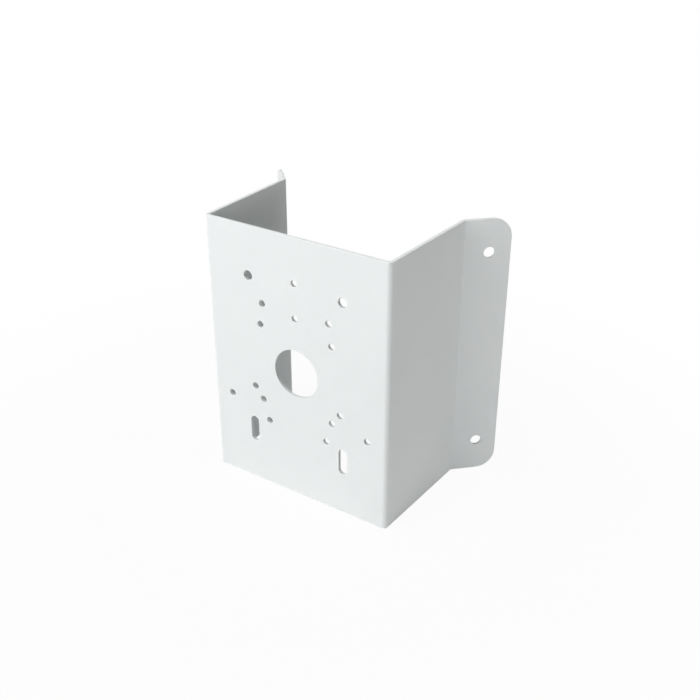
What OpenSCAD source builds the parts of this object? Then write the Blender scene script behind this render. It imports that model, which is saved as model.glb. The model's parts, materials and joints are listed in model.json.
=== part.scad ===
// Corner mount bracket for a security camera: one sheet of steel, folded four times.
// A flat front plate carries the camera's arm, two side panels stand it off the building,
// and two ears lie on the two walls that meet at an outside corner.
// The origin is the centre of the cable hole on the front face, +Y points back to the building
// and +Z points up. Panel sizes are taken along the faces that show from the front,
// to the sharp corners where those faces would meet.

/* [Sheet] */
// Thickness of the sheet
sheet_t = 2.5; // [1.5:0.1:4]
// Radius on the inside of each bend
bend_r = 0.6; // [0.3:0.1:3]

/* [Panels] */
// Height of the front plate, the side panels and the ears
height = 200; // [180:1:320]
// Width of the front plate
front_w = 148.5; // [145:0.5:260]
// Depth of a side panel, from the front face to the fold of its ear
side_d = 89; // [40:0.5:160]
// Angle by which each side panel leans outwards
side_flare = 1.4; // [0:0.1:6]

/* [Ears] */
// Length of an ear, from its fold to its free end
ear_l = 33.3; // [30:0.1:60]
// Angle between an ear and the bracket's middle plane, 45 on a square building corner
ear_angle = 45; // [30:1:60]
// Radius of the two free corners of an ear
ear_corner_r = 14; // [1:0.5:15]
// Diameter of the wall screw holes in the ears
ear_hole_d = 8; // [4:0.5:12]
// Distance from an ear's fold to the centres of its holes
ear_hole_in = 18.2; // [12:0.1:22]
// Distance from an ear's top or bottom edge to the centre of the nearer hole
ear_hole_edge = 24.4; // [18:0.1:40]

/* [Arm bolts] */
// Diameter of the two upper bolt holes, and width of the two lower slots
bolt_hole_d = 7; // [5:0.5:9]
// Distance between the left and the right bolt
bolt_spacing = 77.4; // [70:0.1:84]
// Height of the upper bolt holes above the cable hole's centre
bolt_hole_up = 64; // [58:0.5:70]
// Distance of the slots' middles below the cable hole's centre
slot_down = 57.6; // [54:0.1:64]
// Length of a slot from end to end
slot_l = 20.6; // [10:0.1:28]

/* [Cable and base screws] */
// Diameter of the cable hole in the middle of the front plate
cable_hole_d = 36; // [20:1:60]
// Diameter of every small screw hole in the front plate
screw_hole_d = 5; // [3:0.5:6]
// Circle of the square of four screws, and of the inner three
inner_pcd = 84; // [76:0.5:90]
// Circle of the outer three screws
outer_pcd = 135; // [125:0.5:136]
// Distance between the two screws of the upper pair
upper_pair_spacing = 55; // [50:0.5:60]
// Height of the upper pair above the cable hole's centre
upper_pair_up = 45.9; // [43:0.1:50]
// Distance between the two screws of the lower pair
lower_pair_spacing = 49.6; // [44:0.1:56]
// Distance of the lower pair below the cable hole's centre
lower_pair_down = 45.8; // [42:0.1:50]

/* [Hidden] */
$fn = 96;
// How far a cutter stands proud of what it cuts
proud = 1;
// How far a rounding circle crosses a flat face, so that the two never only graze each other
crossing = 0.001;
// Radius on the outside of each bend, and at the middle of the sheet
bend_outer_r = bend_r + sheet_t;
bend_middle_r = bend_r + sheet_t / 2;
// Angles through which the sheet turns at the front corners and at the ears
front_turn = 90 - side_flare;
ear_turn = front_turn - ear_angle;
// How far two panels run past an ear's fold to meet on its far side
ear_mitre = sheet_t * tan(ear_turn / 2);
// Directions of the screws on a circle, counted from the plate's right
THREE_AT = [90, 210, 330];
FOUR_AT = [45, 135, 225, 315];

// What stands on both sides of the bracket, given for the right side
module both_sides() {
    for (side = [0, 1])
        mirror([side, 0, 0])
            children();
}

// The frames of the right side panel and of the right ear: the panel runs along x,
// with the face that shows from the front on y = 0
module side_frame() {
    translate([front_w / 2, 0, 0])
        rotate([0, 0, front_turn])
            children();
}
module ear_frame() {
    side_frame()
        translate([side_d, 0, 0])
            rotate([0, 0, -ear_turn])
                children();
}

// The frames of the two right bends: the bend's centre line, with x towards its outside
module front_bend_frame() {
    translate([front_w / 2 - bend_outer_r * tan(front_turn / 2), bend_outer_r, 0])
        rotate([0, 0, front_turn / 2 - 90])
            children();
}
module ear_bend_frame() {
    side_frame()
        translate([side_d - bend_r * tan(ear_turn / 2), -bend_r, 0])
            rotate([0, 0, 90 - ear_turn / 2])
                children();
}

// The part of a bend's wedge that lies nearer to its centre line than two flat faces
module bend_wedge(turn, reach) {
    polygon([
        [0, 0],
        reach * [cos(turn / 2), -sin(turn / 2)],
        [reach / cos(turn / 2), 0],
        reach * [cos(turn / 2), sin(turn / 2)]
    ]);
}

// What the outside radius takes off a sharp bend
module bend_waste(turn) {
    difference() {
        bend_wedge(turn, bend_outer_r + proud);
        circle(bend_outer_r + crossing);
    }
}

// What the inside radius adds to a sharp bend
module bend_fill(turn) {
    difference() {
        bend_wedge(turn, bend_middle_r);
        circle(bend_r + crossing);
    }
}

// The five panels in plan, with sharp corners
module sharp_plan() {
    translate([-front_w / 2, 0])
        square([front_w, sheet_t]);
    both_sides() {
        side_frame()
            square([side_d + ear_mitre, sheet_t]);
        ear_frame()
            translate([-ear_mitre, 0])
                square([ear_l + ear_mitre, sheet_t]);
    }
}

// The folded sheet in plan
module plan() {
    difference() {
        sharp_plan();
        both_sides() {
            front_bend_frame() bend_waste(front_turn);
            ear_bend_frame() bend_waste(ear_turn);
        }
    }
    both_sides() {
        front_bend_frame() bend_fill(front_turn);
        ear_bend_frame() bend_fill(ear_turn);
    }
}

// A cutter for a round hole through a panel, centred on a point of its shown face
module hole(x, z, diameter) {
    translate([x, -proud, z])
        rotate([-90, 0, 0])
            cylinder(d = diameter, h = sheet_t + 2 * proud);
}

// A cutter for an upright slot with round ends
module slot(x, z, width, length) {
    reach = (length - width) / 2;
    hole(x, z - reach, width);
    hole(x, z + reach, width);
    translate([x - width / 2, -proud, z - reach])
        cube([width, sheet_t + 2 * proud, 2 * reach]);
}

// Cutters for screws spread over a circle around the cable hole
module screw_circle(pcd, directions) {
    for (a = directions)
        hole(pcd / 2 * cos(a), pcd / 2 * sin(a), screw_hole_d);
}

// All cutters of the front plate
module front_cutters() {
    hole(0, 0, cable_hole_d);
    screw_circle(inner_pcd, FOUR_AT);
    screw_circle(inner_pcd, THREE_AT);
    screw_circle(outer_pcd, THREE_AT);
    both_sides() {
        hole(bolt_spacing / 2, bolt_hole_up, bolt_hole_d);
        slot(bolt_spacing / 2, -slot_down, bolt_hole_d, slot_l);
        hole(upper_pair_spacing / 2, upper_pair_up, screw_hole_d);
        hole(lower_pair_spacing / 2, -lower_pair_down, screw_hole_d);
    }
}

// The waste at an ear's upper free corner: a block less the round that stays
module ear_corner_waste() {
    translate([ear_l - ear_corner_r, 0, height / 2 - ear_corner_r])
        difference() {
            translate([0, -proud, 0])
                cube([ear_corner_r + proud, sheet_t + 2 * proud, ear_corner_r + proud]);
            hole(0, 0, 2 * (ear_corner_r + crossing));
        }
}

// All cutters of an ear, alike at its top and its bottom
module ear_cutters() {
    for (end = [0, 1])
        mirror([0, 0, end]) {
            hole(ear_hole_in, height / 2 - ear_hole_edge, ear_hole_d);
            ear_corner_waste();
        }
}

// The whole folded bracket, white powder coat on steel
module bracket() {
    color([0.93, 0.94, 0.94])
        difference() {
            linear_extrude(height, center = true)
                plan();
            front_cutters();
            both_sides()
                ear_frame()
                    ear_cutters();
        }
}

bracket();
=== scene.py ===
# %% [markdown]
# # A folded sheet-steel bracket with a white powder coat
# The imported model is loaded as a fixed frame. It says how thick and how high the sheet is, and
# it stays as it is: what is modelled here has to land on it. The box of that model is kept.

# %% Load the frame
import json
import math

import bpy
from mathutils import Matrix, Vector


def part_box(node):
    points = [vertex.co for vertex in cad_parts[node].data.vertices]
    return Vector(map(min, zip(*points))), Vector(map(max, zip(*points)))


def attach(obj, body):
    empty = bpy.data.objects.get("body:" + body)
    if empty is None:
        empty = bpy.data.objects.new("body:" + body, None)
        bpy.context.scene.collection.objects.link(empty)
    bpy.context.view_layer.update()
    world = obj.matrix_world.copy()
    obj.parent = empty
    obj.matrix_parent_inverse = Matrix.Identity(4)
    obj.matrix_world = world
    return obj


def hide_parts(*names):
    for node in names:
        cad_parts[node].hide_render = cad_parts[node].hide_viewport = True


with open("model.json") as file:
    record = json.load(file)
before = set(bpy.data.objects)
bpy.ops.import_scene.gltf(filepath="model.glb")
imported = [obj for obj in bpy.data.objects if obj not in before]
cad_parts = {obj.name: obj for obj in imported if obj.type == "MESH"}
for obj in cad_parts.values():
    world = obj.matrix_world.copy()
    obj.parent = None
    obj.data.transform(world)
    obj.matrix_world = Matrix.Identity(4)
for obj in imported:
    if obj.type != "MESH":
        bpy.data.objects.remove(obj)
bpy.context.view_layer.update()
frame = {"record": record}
cad_low, cad_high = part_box("bracket")
mounts = {mount["name"]: mount for mount in frame["record"]["mounts"]}
scene = bpy.context.scene
bpy.ops.object.select_all(action="DESELECT")
print("bracket from", tuple(cad_low), "to", tuple(cad_high))

# %% [markdown]
# ## The camera
# The photograph was taken from the right of the bracket and from above, with a slightly long
# lens. A camera has three axes of its own: right, up and back. They are worked out from the
# angle around the bracket and the angle above it, and the camera is then placed by how far it
# stands from the centre of the cable hole along each of the three, in metres.

# %% Place the camera
CAMERA_AZIMUTH = math.radians(34.141)
CAMERA_ELEVATION = math.radians(28.151)
CAMERA_ROLL = math.radians(0.123)
CAMERA_RIGHT, CAMERA_UP, CAMERA_BACK = 0.03683, 0.01657, 0.68258
LENS_MM, SENSOR_MM = 51.42, 36.0
CLIP_START = 0.01


def camera_axes(azimuth, elevation, roll):
    """The camera's right, up and back directions; azimuth 0 looks along +Y."""
    back = Vector((
        math.sin(azimuth) * math.cos(elevation),
        -math.cos(azimuth) * math.cos(elevation),
        math.sin(elevation),
    ))
    level = Vector((math.cos(azimuth), math.sin(azimuth), 0))
    upright = back.cross(level)
    right = level * math.cos(roll) + upright * math.sin(roll)
    return right, back.cross(right), back


right, up, back = camera_axes(CAMERA_AZIMUTH, CAMERA_ELEVATION, CAMERA_ROLL)
camera_place = right * CAMERA_RIGHT + up * CAMERA_UP + back * CAMERA_BACK
camera_data = bpy.data.cameras.new("camera")
camera_data.lens = LENS_MM
camera_data.sensor_width = SENSOR_MM
camera_data.clip_start = CLIP_START
camera = bpy.data.objects.new("camera", camera_data)
scene.collection.objects.link(camera)
turned = Matrix((right, up, back)).transposed().to_4x4()
camera.matrix_world = Matrix.Translation(camera_place) @ turned
scene.camera = camera
print("camera at", tuple(round(v, 3) for v in camera_place))

# %% [markdown]
# ## The sheet's measures
# A folded part is easiest to think of as flat panels with a bend between each two. The panels
# are measured to the sharp corners where their faces would meet, and each bend then takes a
# setback off the panels on its two sides. The thickness is the length of the cable hole's wall.
# The side panels lean outwards by a small angle, the flare, and the ears stand at half a right
# angle, so that they lie on the two walls of a building's corner.

# %% Name the measures
MM = 0.001
SHEET = mounts["cable_hole"]["dims"]["length_mm"] * MM
HEIGHT = cad_high.z - cad_low.z
BEND_INSIDE = 0.6 * MM
BEND_OUTSIDE = BEND_INSIDE + SHEET
FRONT_WIDTH = 148.5 * MM
SIDE_DEPTH = 89.0 * MM
EAR_LENGTH = 33.3 * MM
EAR_CORNER = 14.0 * MM
SIDE_FLARE, EAR_ANGLE = 1.4, 45
FRONT_TURN = math.radians(90 - SIDE_FLARE)
EAR_TURN = FRONT_TURN - math.radians(EAR_ANGLE)
front_setback = BEND_OUTSIDE * math.tan(FRONT_TURN / 2)
ear_setback = BEND_INSIDE * math.tan(EAR_TURN / 2)
print(f"sheet {SHEET * 1000:.1f} mm thick and {HEIGHT * 1000:.0f} mm high")

# %% [markdown]
# ## Helpers for edit mode
# In the window, edges and corners are picked with the mouse. In a script they are picked by
# where they are, which also says in words what the next step works on. The first helper goes to
# edit mode with only the wanted parts selected, and the second goes back. The third is for the
# steps that work on a whole piece. Two corners that are nearer to each other than NEAR, in
# metres, count as standing in the same place.

# %% Pick corners and edges by place
NEAR = 1e-5


def pick(piece, mode, wanted):
    """Opens edit mode with the corners or edges selected that lie where wanted says."""
    bpy.ops.object.select_all(action="DESELECT")
    bpy.context.view_layer.objects.active = piece
    piece.select_set(True)
    bpy.ops.object.mode_set(mode="EDIT")
    bpy.ops.mesh.select_mode(type=mode)
    bpy.ops.mesh.select_all(action="DESELECT")
    bpy.ops.object.mode_set(mode="OBJECT")
    mesh = piece.data
    if mode == "VERT":
        chosen = [v for v in mesh.vertices if wanted(v.co)]
    else:
        chosen = [e for e in mesh.edges if all(wanted(mesh.vertices[i].co) for i in e.vertices)]
    for part in chosen:
        part.select = True
    bpy.ops.object.mode_set(mode="EDIT")
    return len(chosen)


def leave():
    """Back to object mode."""
    bpy.ops.object.mode_set(mode="OBJECT")


def apply_modifier(piece, kind, **settings):
    """Adds one modifier with its settings and applies it at once."""
    bpy.context.view_layer.objects.active = piece
    modifier = piece.modifiers.new(kind.lower(), kind)
    for name, value in settings.items():
        setattr(modifier, name, value)
    bpy.ops.object.modifier_apply(modifier=modifier.name)


# %% [markdown]
# ## The right half of the front plate
# The bracket is alike on its left and its right, so only the right half is folded, and a mirror
# makes the rest. A plane is stood upright, and its corners are moved to the middle line and to
# the line where the first bend starts.

# %% Stand up half of the front plate
front_reach = FRONT_WIDTH / 2 - front_setback
bpy.ops.mesh.primitive_plane_add(size=1, location=(0, 0, 0), rotation=(math.pi / 2, 0, 0))
sheet = bpy.context.object
sheet.name = "coated_sheet"
bpy.ops.object.transform_apply(location=True, rotation=True, scale=True)
for corner in sheet.data.vertices:
    corner.co.x = front_reach if corner.co.x > 0 else 0
    corner.co.y = 0
    corner.co.z = math.copysign(HEIGHT / 2, corner.co.z)
print("the half plate reaches", round(front_reach / MM, 2), "mm before its bend")

# %% [markdown]
# ## Folding the sheet
# A press brake folds the flat sheet around a line. Spin does the same here: the free edge turns
# around the middle line of the bend and leaves a curved strip behind it. Extruding the edge then
# draws the next flat panel. The first bend turns the sheet backwards, around a line behind it.
# The second turns the ear outwards again, around a line in front of it. Every step hands on the
# place in plan where the free edge now stands, and the direction in which the sheet runs.

# %% Bend, run, bend, run
BEND_STEPS = 14


def pick_free_edge(plan):
    """Selects the upright edge that stands at a place in plan."""
    pick(sheet, "EDGE", lambda p: (p.xy - plan.xy).length < NEAR)


def run_flat(plan, heading, length):
    """Draws the next flat panel and gives the place where it ends."""
    step = Vector((math.cos(heading), math.sin(heading), 0)) * length
    pick_free_edge(plan)
    bpy.ops.mesh.extrude_region_move(TRANSFORM_OT_translate={"value": step})
    leave()
    return plan + step


def run_bend(plan, heading, turn, radius):
    """Spins the free edge through a turn, counted anticlockwise from above."""
    towards = Vector((-math.sin(heading), math.cos(heading), 0)) * math.copysign(1, turn)
    middle = plan + towards * radius
    pick_free_edge(plan)
    bpy.ops.mesh.spin(steps=BEND_STEPS, angle=turn, center=middle, axis=(0, 0, -1))
    leave()
    return middle + Matrix.Rotation(turn, 3, "Z") @ (-towards * radius)


plan = run_bend(Vector((front_reach, 0, 0)), 0, FRONT_TURN, BEND_OUTSIDE)
plan = run_flat(plan, FRONT_TURN, SIDE_DEPTH - front_setback - ear_setback)
plan = run_bend(plan, FRONT_TURN, -EAR_TURN, BEND_INSIDE)
plan = run_flat(plan, FRONT_TURN - EAR_TURN, EAR_LENGTH - ear_setback)
print("the ear ends at", [round(v / MM, 2) for v in plan.xy], "mm, with",
      len(sheet.data.vertices), "corners so far")
furthest = [max(v.co[i] for v in sheet.data.vertices) for i in (0, 1)]
print("it reaches", [round(v / MM, 2) for v in furthest], "mm to the right and to the back")

# %% [markdown]
# ## The ears' round corners
# The free corners of the ears are cut round, with a large radius. Bevel on corners, and not on
# edges, does that in one step: each sharp corner is replaced by an arc between its two edges.

# %% Round the free corners of the ear
CORNER_STEPS = 20
ROUND_PROFILE = 0.5
corners = pick(sheet, "VERT", lambda p: (p.xy - plan.xy).length < NEAR)
bpy.ops.mesh.bevel(offset=EAR_CORNER, affect="VERTICES", segments=CORNER_STEPS,
                   profile=ROUND_PROFILE)
leave()
print(corners, "ear corners rounded")

# %% [markdown]
# ## The other half
# Mirror copies the half to the left and joins both at the middle line. The seam there is
# dissolved, so that the plate is one face. A mirrored copy can end up inside out, so the
# directions of all faces are made to agree, with the plate facing forwards, before the sheet
# gets its thickness.

# %% Mirror the half and join it
apply_modifier(sheet, "MIRROR", use_mirror_merge=True, merge_threshold=NEAR)
pick(sheet, "EDGE", lambda p: abs(p.x) < NEAR)
bpy.ops.mesh.dissolve_edges(use_verts=True)
bpy.ops.mesh.select_all(action="SELECT")
bpy.ops.mesh.normals_make_consistent(inside=False)
leave()
plate = max(sheet.data.polygons, key=lambda face: face.area)
if plate.normal.y > 0:
    bpy.ops.object.mode_set(mode="EDIT")
    bpy.ops.mesh.select_all(action="SELECT")
    bpy.ops.mesh.flip_normals()
    leave()
facing = tuple(round(v) for v in plate.normal)
print(len(sheet.data.polygons), "faces; the front plate faces", facing)

# %% [markdown]
# ## The thickness
# Everything so far is the face that shows from the front. Solidify grows the steel backwards
# from it. Even thickness keeps the wall the same through the bends, so the inside of a front
# bend comes out with its small radius by itself.

# %% Give the sheet its thickness
apply_modifier(sheet, "SOLIDIFY", thickness=SHEET, offset=-1, use_even_offset=True,
               use_quality_normals=True, use_rim=True)
print("sheet thickened:", len(sheet.data.polygons), "faces")

# %% [markdown]
# ## The holes
# The holes are punched before the sheet is folded. Here they are cut into the folded sheet with
# Boolean, because the folded panels then give each hole its place. A cutter is a cylinder
# through the plate. A slot's cutter is the same cylinder with its upper half moved up and its
# lower half moved down. Its corners are turned by half a step, so that none lies in the middle.

# %% Describe a cutter
HOLE_STEPS, CABLE_STEPS = 48, 96
CUTTER_DEPTH = 4 * SHEET
cutters = []


def cutter(place, heading, diameter, steps=HOLE_STEPS, slot=0):
    """A cylinder square to a panel that runs along heading; slot is its extra length."""
    bpy.ops.object.select_all(action="DESELECT")
    bpy.ops.mesh.primitive_cylinder_add(
        vertices=steps, radius=diameter / 2, depth=CUTTER_DEPTH,
        rotation=(0, 0, math.pi / steps))
    punch = bpy.context.object
    bpy.ops.object.transform_apply(location=False, rotation=True, scale=False)
    for corner in punch.data.vertices:
        corner.co.y += math.copysign(slot / 2, corner.co.y)
    punch.rotation_euler = (math.pi / 2, 0, heading)
    punch.location = place
    bpy.ops.object.transform_apply(location=True, rotation=True, scale=False)
    cutters.append(punch)


print("a cutter is", round(CUTTER_DEPTH / MM), "mm deep and has", HOLE_STEPS, "sides")

# %% [markdown]
# ## The holes of the front plate
# The cable hole sits in the middle. Two bolt holes above it and two slots below it hold the
# camera's arm, and the slots leave room to set it level. The small screw holes fit several
# camera bases: a square of four and a triangle of three on one circle, a triangle on a wider
# circle, and two pairs. Directions on a circle are in degrees, counted from the plate's right.

# %% Make the cutters of the front plate
CABLE_HOLE = 36 * MM
BOLT_HOLE, BOLT_SPACING, BOLT_UP = 7 * MM, 77.4 * MM, 64 * MM
SLOT_LENGTH, SLOT_DOWN = 20.6 * MM, 57.6 * MM
SCREW_HOLE = 5 * MM
INNER_CIRCLE, OUTER_CIRCLE = 84 * MM, 135 * MM
THREE_AT, FOUR_AT = (90, 210, 330), (45, 135, 225, 315)
UPPER_PAIR, UPPER_PAIR_UP = 55 * MM, 45.9 * MM
LOWER_PAIR, LOWER_PAIR_DOWN = 49.6 * MM, 45.8 * MM


def plate_cutters(places, diameter, **more):
    """Cutters in the front plate, at places given across and up."""
    for x, z in places:
        cutter((x, SHEET / 2, z), 0, diameter, **more)


def around(circle, directions):
    """Places on a circle around the cable hole."""
    return [(circle / 2 * math.cos(math.radians(a)), circle / 2 * math.sin(math.radians(a)))
            for a in directions]


def pair(across, z):
    """Two places at one height, spaced evenly about the middle."""
    return [(-across / 2, z), (across / 2, z)]


plate_cutters([(0, 0)], CABLE_HOLE, steps=CABLE_STEPS)
plate_cutters(pair(BOLT_SPACING, BOLT_UP), BOLT_HOLE)
plate_cutters(pair(BOLT_SPACING, -SLOT_DOWN), BOLT_HOLE, slot=SLOT_LENGTH - BOLT_HOLE)
plate_cutters(around(INNER_CIRCLE, FOUR_AT), SCREW_HOLE)
plate_cutters(around(INNER_CIRCLE, THREE_AT), SCREW_HOLE)
plate_cutters(around(OUTER_CIRCLE, THREE_AT), SCREW_HOLE)
plate_cutters(pair(UPPER_PAIR, UPPER_PAIR_UP), SCREW_HOLE)
plate_cutters(pair(LOWER_PAIR, -LOWER_PAIR_DOWN), SCREW_HOLE)
print(len(cutters), "cutters for the front plate")

# %% [markdown]
# ## The wall screw holes
# Each ear has one hole near its top and one near its bottom. Their place is counted from the
# fold along the ear, and down from the ear's edge. The cutters stand square to the ear.

# %% Make the cutters of the ears
WALL_HOLE = 8 * MM
EAR_HOLE_IN, EAR_HOLE_EDGE = 18.2 * MM, 24.4 * MM
ear_heading = FRONT_TURN - EAR_TURN
side_run = Vector((math.cos(FRONT_TURN), math.sin(FRONT_TURN), 0)) * SIDE_DEPTH
ear_run = Vector((math.cos(ear_heading), math.sin(ear_heading), 0)) * EAR_HOLE_IN
ear_back = Vector((-math.sin(ear_heading), math.cos(ear_heading), 0)) * SHEET / 2
hole_plan = Vector((FRONT_WIDTH / 2, 0, 0)) + side_run + ear_run + ear_back
for side in (1, -1):
    for end in (1, -1):
        place = (side * hole_plan.x, hole_plan.y, end * (HEIGHT / 2 - EAR_HOLE_EDGE))
        cutter(place, side * ear_heading, WALL_HOLE)
print("ear holes at", round(hole_plan.x / MM, 2), round(hole_plan.y / MM, 2), "mm in plan")

# %% [markdown]
# ## Cutting
# All cutters are joined into one object, so that a single Boolean makes every hole.

# %% Cut all the holes at once
bpy.ops.object.select_all(action="DESELECT")
for punch in cutters:
    punch.select_set(True)
bpy.context.view_layer.objects.active = cutters[0]
bpy.ops.object.join()
punches = bpy.context.object
bpy.ops.object.select_all(action="DESELECT")
apply_modifier(sheet, "BOOLEAN", operation="DIFFERENCE", object=punches, solver="EXACT")
bpy.data.objects.remove(punches)
print("after cutting:", len(sheet.data.polygons), "faces")

# %% [markdown]
# ## The coated edges
# Punched steel has sharp edges, but a powder coat flows while it is baked and rounds them off.
# The Bevel modifier does that to every edge sharper than its limit, which leaves the small steps
# of the bends and of the round holes alone. Smooth shading with weighted normals then keeps the
# flat panels flat, and gives all the roundness to the narrow strips.

# %% Round the edges and shade the sheet
EDGE_ROUND = 0.35 * MM
EDGE_STEPS = 3
SHARP_ANGLE = math.radians(40)
FLAT_WEIGHT = 80
apply_modifier(sheet, "BEVEL", width=EDGE_ROUND, segments=EDGE_STEPS, limit_method="ANGLE",
               angle_limit=SHARP_ANGLE, use_clamp_overlap=False)
bpy.ops.object.select_all(action="DESELECT")
sheet.select_set(True)
bpy.context.view_layer.objects.active = sheet
bpy.ops.object.shade_smooth_by_angle(angle=SHARP_ANGLE)
apply_modifier(sheet, "WEIGHTED_NORMAL", weight=FLAT_WEIGHT, keep_sharp=True)
print("finished:", len(sheet.data.polygons), "faces")

# %% [markdown]
# ## Noise for the coat
# A material is a tree of nodes with links between them. The first helper adds a node and sets
# its inputs. The other two make noise and stretch it over a range. The noise takes its place
# from Object coordinates, so it stays on the sheet wherever the sheet goes, and its scale counts
# waves in a metre.

# %% Start the coat's material
NOISE_LOW, NOISE_HIGH = 0.3, 0.7


def node(tree, kind, **inputs):
    """Adds a node and sets its inputs by name, with _ for a space."""
    made = tree.nodes.new(kind)
    for name, value in inputs.items():
        made.inputs[name.replace("_", " ")].default_value = value
    return made


coat = bpy.data.materials.new("white_powder_coat")
coat.use_nodes = True
tree = coat.node_tree
shader = tree.nodes["Principled BSDF"]
where = tree.nodes.new("ShaderNodeTexCoord").outputs["Object"]


def noise(scale, detail):
    """Noise on the coat, mostly between NOISE_LOW and NOISE_HIGH."""
    made = node(tree, "ShaderNodeTexNoise", Scale=scale, Detail=detail)
    tree.links.new(where, made.inputs["Vector"])
    return made.outputs["Fac"]


def spread(value, low, high):
    """Stretches a noise value over the range from low to high."""
    made = node(tree, "ShaderNodeMapRange", To_Min=low, To_Max=high)
    made.inputs["From Min"].default_value = NOISE_LOW
    made.inputs["From Max"].default_value = NOISE_HIGH
    tree.links.new(value, made.inputs["Value"])
    return made.outputs["Result"]


print("material", coat.name, "starts with", len(tree.nodes), "nodes")

# %% [markdown]
# ## The powder coat
# Powder coat is a baked plastic skin. Seen close, it has the soft waves of an orange's skin,
# about a millimetre across and a tenth of one deep. Its gloss varies a little from place to
# place, and so does its white. All three come from noise: slow for the white, faster for the
# gloss and fine for the waves. Detail is the number of finer layers on top of each.

# %% Mix the powder coat
COAT_WHITE = (0.842, 0.868, 0.864, 1)
COAT_SHADE = (0.82, 0.846, 0.843, 1)
ROUGH_LOW, ROUGH_HIGH = 0.42, 0.52
PEEL_STRENGTH, PEEL_DEPTH = 0.8, 0.14 * MM
white = tree.nodes.new("ShaderNodeMix")
white.data_type = "RGBA"
white.inputs["A"].default_value = COAT_WHITE
white.inputs["B"].default_value = COAT_SHADE
clouds = spread(noise(scale=22, detail=4), 0, 1)
tree.links.new(clouds, white.inputs["Factor"])
tree.links.new(white.outputs["Result"], shader.inputs["Base Color"])
gloss = spread(noise(scale=60, detail=3), ROUGH_LOW, ROUGH_HIGH)
tree.links.new(gloss, shader.inputs["Roughness"])
peel = node(tree, "ShaderNodeBump", Strength=PEEL_STRENGTH, Distance=PEEL_DEPTH)
tree.links.new(noise(scale=900, detail=2), peel.inputs["Height"])
tree.links.new(peel.outputs["Normal"], shader.inputs["Normal"])
sheet.data.materials.clear()
sheet.data.materials.append(coat)
print("powder coat mixed with", len(tree.nodes), "nodes")

# %% [markdown]
# ## The floor
# The photograph shows the bracket on plain white, so it stands on a large pale plane. The
# plane's material blends two shaders: a matt white that takes light and shadow like paper, and
# an even glow.

# %% Lay the floor
FLOOR_SIZE = 12
FLOOR_WHITE = (0.67, 0.67, 0.67, 1)
bpy.ops.object.select_all(action="DESELECT")
bpy.ops.mesh.primitive_plane_add(size=FLOOR_SIZE, location=(0, 0, cad_low.z))
floor = bpy.context.object
floor.name = "floor"
paper = bpy.data.materials.new("white_floor")
paper.use_nodes = True
tree = paper.node_tree
tree.nodes.remove(tree.nodes["Principled BSDF"])
matt = node(tree, "ShaderNodeBsdfDiffuse", Color=FLOOR_WHITE)
glow = node(tree, "ShaderNodeEmission", Color=(1, 1, 1, 1), Strength=1)
blend = tree.nodes.new("ShaderNodeMixShader")
tree.links.new(matt.outputs["BSDF"], blend.inputs[1])
tree.links.new(glow.outputs["Emission"], blend.inputs[2])
tree.links.new(blend.outputs["Shader"], tree.nodes["Material Output"].inputs["Surface"])
floor.data.materials.append(paper)
print("floor at", round(cad_low.z, 3), "m, under the bracket's lower edge")

# %% [markdown]
# ## White to the camera only
# The glow is there for the camera, and must not light the bracket from below. The light path
# node tells the two apart. Near the bracket a little of the matt white is mixed in, so that the
# bracket keeps a faint shadow where it stands, and this fades to pure white with the distance.

# %% Blend the floor's two shaders
GLOW_NEAR, GLOW_FAR = 0.95, 1
FADE_START, FADE_END = 0.12, 0.5


def seen(tree):
    """A factor that is 1 for what the camera sees, also mirrored or through glass, else 0."""
    path = tree.nodes.new("ShaderNodeLightPath")
    total = path.outputs["Is Camera Ray"]
    for ray in ("Is Glossy Ray", "Is Transmission Ray"):
        more = tree.nodes.new("ShaderNodeMath")
        more.operation = "MAXIMUM"
        tree.links.new(total, more.inputs[0])
        tree.links.new(path.outputs[ray], more.inputs[1])
        total = more.outputs["Value"]
    return total


spot = tree.nodes.new("ShaderNodeTexCoord").outputs["Object"]
distance = tree.nodes.new("ShaderNodeVectorMath")
distance.operation = "LENGTH"
tree.links.new(spot, distance.inputs["Vector"])
fade = node(tree, "ShaderNodeMapRange", To_Min=GLOW_NEAR, To_Max=GLOW_FAR)
fade.interpolation_type = "SMOOTHSTEP"
fade.inputs["From Min"].default_value = FADE_START
fade.inputs["From Max"].default_value = FADE_END
tree.links.new(distance.outputs["Value"], fade.inputs["Value"])
share = tree.nodes.new("ShaderNodeMath")
share.operation = "MULTIPLY"
tree.links.new(seen(tree), share.inputs[0])
tree.links.new(fade.outputs["Result"], share.inputs[1])
tree.links.new(share.outputs["Value"], blend.inputs["Fac"])
print("pure white from", FADE_END, "m around the bracket's middle")

# %% [markdown]
# ## The sky
# The world behind the floor is white to the camera too, and gives no light. So the lamps alone
# decide how bright each panel is.

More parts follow.
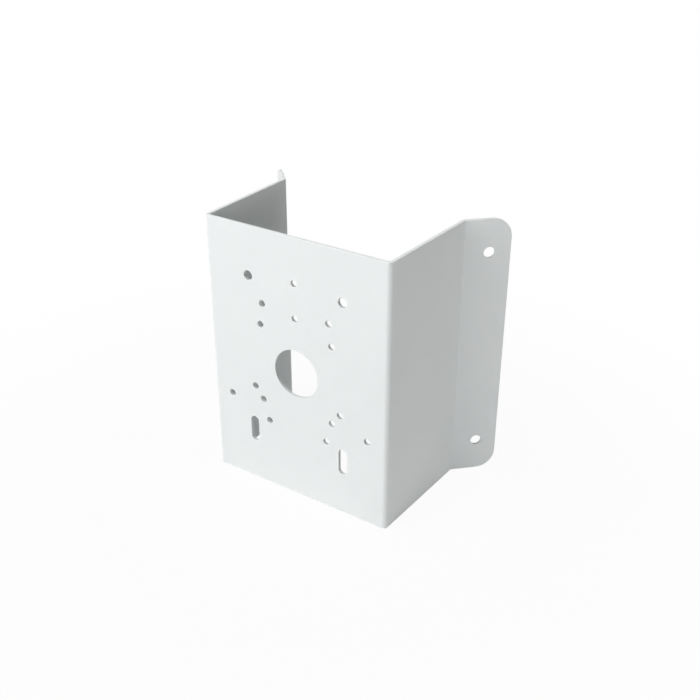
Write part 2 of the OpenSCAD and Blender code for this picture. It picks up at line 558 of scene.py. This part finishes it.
# %% Paint the sky
world = bpy.data.worlds.new("sky")
scene.world = world
world.use_nodes = True
tree = world.node_tree
unlit = tree.nodes["Background"]
unlit.inputs["Strength"].default_value = 0
backdrop = node(tree, "ShaderNodeBackground", Color=(1, 1, 1, 1), Strength=1)
blend = tree.nodes.new("ShaderNodeMixShader")
tree.links.new(seen(tree), blend.inputs["Fac"])
tree.links.new(unlit.outputs["Background"], blend.inputs[1])
tree.links.new(backdrop.outputs["Background"], blend.inputs[2])
tree.links.new(blend.outputs["Shader"], tree.nodes["World Output"].inputs["Surface"])
print("sky painted with", len(tree.nodes), "nodes")

# %% [markdown]
# ## The lamps
# A folded sheet shows its shape only if each panel has its own brightness, so each direction
# gets a lamp of its own. The large key lamp stands in front, to the left and high up, and makes
# the front plate the brightest panel. The front lamp stands low and lifts the plate and the
# ears together. The side lamp stands to the right and a little behind the plate: it lights the
# right wall, but not the insides of the holes in the plate, which stay dark. The small top lamp
# passes along the upright panels and lights little but their rims. The other two are weak: the
# back lamp reaches into the fold from the right, and the rear lamp keeps the back from going
# dark when the bracket is seen from behind. All stand at one distance and look at the cable hole.

# %% Place the lamps
LAMP_FAR = 1.5
LAMPS = {
    # name: watts, metres across, degrees to the left of the front, degrees up
    "key_lamp": (19.3, 1.5, 34, 36),
    "front_lamp": (8.2, 1, -10, 5),
    "side_lamp": (4.5, 0.4, -100, 2),
    "back_lamp": (0.7, 0.6, -118, 6),
    "top_lamp": (7.2, 0.25, 0, 88),
    "rear_lamp": (2.4, 0.6, 180, 30),
}


def soft_lamp(name, watts, size, left, raised):
    """A square lamp that looks at the cable hole from a side and a height."""
    data = bpy.data.lights.new(name, "AREA")
    data.energy = watts
    data.size = size
    lamp = bpy.data.objects.new(name, data)
    scene.collection.objects.link(lamp)
    left, raised = math.radians(left), math.radians(raised)
    way = Vector((
        -math.sin(left) * math.cos(raised),
        -math.cos(left) * math.cos(raised),
        math.sin(raised),
    ))
    lamp.location = way * LAMP_FAR
    lamp.rotation_euler = way.to_track_quat("Z", "Y").to_euler()
    print(name, "at", tuple(round(v, 2) for v in lamp.location))


for name, measures in LAMPS.items():
    soft_lamp(name, *measures)
scene.view_settings.view_transform = "Standard"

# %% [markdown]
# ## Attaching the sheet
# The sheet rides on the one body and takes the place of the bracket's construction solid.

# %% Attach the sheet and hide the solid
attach(sheet, "root")
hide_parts("bracket")
